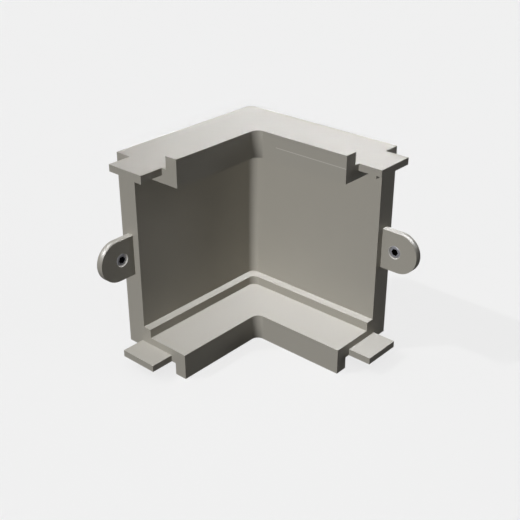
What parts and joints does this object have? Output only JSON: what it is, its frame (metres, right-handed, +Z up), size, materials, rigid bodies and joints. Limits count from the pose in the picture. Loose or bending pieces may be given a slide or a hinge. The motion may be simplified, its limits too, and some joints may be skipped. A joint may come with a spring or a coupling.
{
  "type": "channel connector",
  "caption": "Inside corner connector for a C-shaped trim channel: right-angled walls with flanges, outward lips and inner steps, with flat tabs and screw-locked ears at its open ends.",
  "frame": {"origin": "outer upright corner, where the planes of the two back faces meet, at the height of the bottom lip's lower edge", "axes": "+X along the left arm and +Y along the right arm, as seen from inside the corner, +Z up"},
  "size_m": [0.073, 0.073, 0.0744],
  "materials": {
    "body": "fine satin, as moulded, warm light grey",
    "screws": "bluish zinc-plated steel, dark inside the socket"
  },
  "bodies": {
    "root": {"corner_body": "body", "set_screw_left": "screws", "set_screw_right": "screws"}
  },
  "joints": []
}
